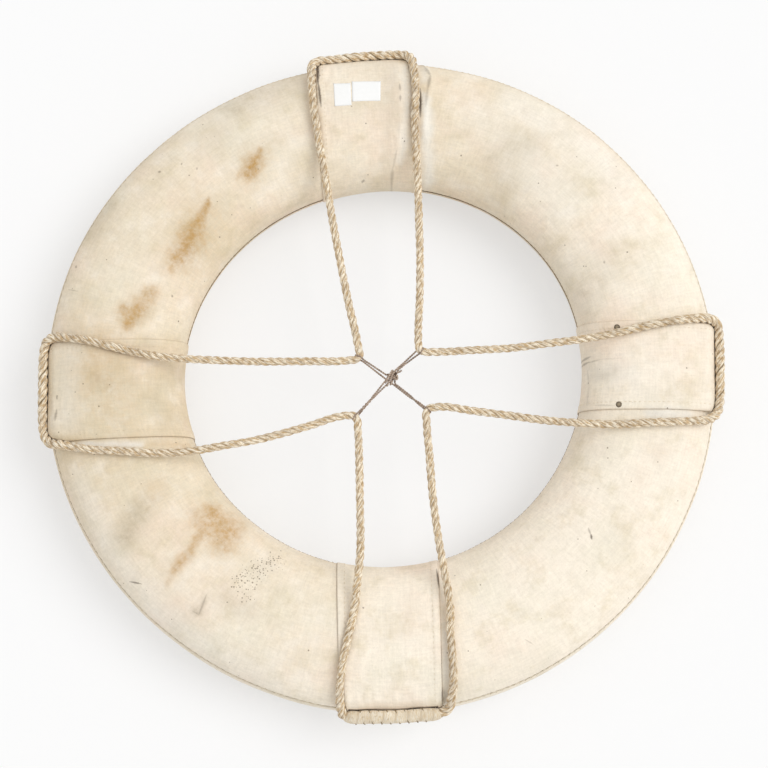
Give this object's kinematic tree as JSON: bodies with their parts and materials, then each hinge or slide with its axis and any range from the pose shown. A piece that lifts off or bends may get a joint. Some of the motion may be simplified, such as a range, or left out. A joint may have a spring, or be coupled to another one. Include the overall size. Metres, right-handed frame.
{
  "type": "cork life ring",
  "caption": "Round canvas-covered cork life ring with sewn canvas bands, a rope grab line round its edge, and the line's slack loops lashed together across its hole.",
  "frame": {"origin": "bottom centre of the object's box, in the plane that the ring lies on, under the middle of its hole", "axes": "+Z along the ring's own axis and out of its front face, +Y towards the band at the top of the picture, +X to the right seen from the front"},
  "size_m": [0.7839, 0.7774, 0.1134],
  "materials": {
    "cork": "rough raw cork",
    "ash_dowel": "plain turned wood",
    "painted_canvas": "old off-white paint on canvas, stained",
    "seam_thread": "waxed sewing thread, darkened",
    "rusted_iron": "dull brown rust",
    "plain_paper": "matt white paper",
    "hemp_line": "weathered natural fibre rope",
    "sewing_twine": "weathered twine",
    "tarred_twine": "grey-brown tarred twine"
  },
  "bodies": {
    "root": {"cork_front_1": "cork", "cork_front_2": "cork", "cork_front_3": "cork", "cork_front_4": "cork", "cork_front_5": "cork", "cork_front_6": "cork", "cork_front_7": "cork", "cork_front_8": "cork", "cork_back_1": "cork", "cork_back_2": "cork", "cork_back_3": "cork", "cork_back_4": "cork", "cork_back_5": "cork", "cork_back_6": "cork", "cork_back_7": "cork", "cork_back_8": "cork", "dowel_1": "ash_dowel", "dowel_2": "ash_dowel", "dowel_3": "ash_dowel", "dowel_4": "ash_dowel", "dowel_5": "ash_dowel", "dowel_6": "ash_dowel", "dowel_7": "ash_dowel", "dowel_8": "ash_dowel", "dowel_9": "ash_dowel", "dowel_10": "ash_dowel", "dowel_11": "ash_dowel", "dowel_12": "ash_dowel", "dowel_13": "ash_dowel", "dowel_14": "ash_dowel", "dowel_15": "ash_dowel", "dowel_16": "ash_dowel", "front_cover": "painted_canvas", "back_cover": "painted_canvas", "top_band": "painted_canvas", "left_band": "painted_canvas", "bottom_band": "painted_canvas", "right_band": "painted_canvas", "outer_seam": "seam_thread", "inner_seam": "seam_thread", "tack_1": "rusted_iron", "tack_2": "rusted_iron", "paper_label_1": "plain_paper", "paper_label_2": "plain_paper", "grab_line": "hemp_line", "line_splice": "hemp_line", "top_stitching": "sewing_twine", "left_stitching": "sewing_twine", "right_stitching": "sewing_twine", "bottom_stitching": "sewing_twine", "twine_lashing": "tarred_twine"}
  },
  "joints": []
}
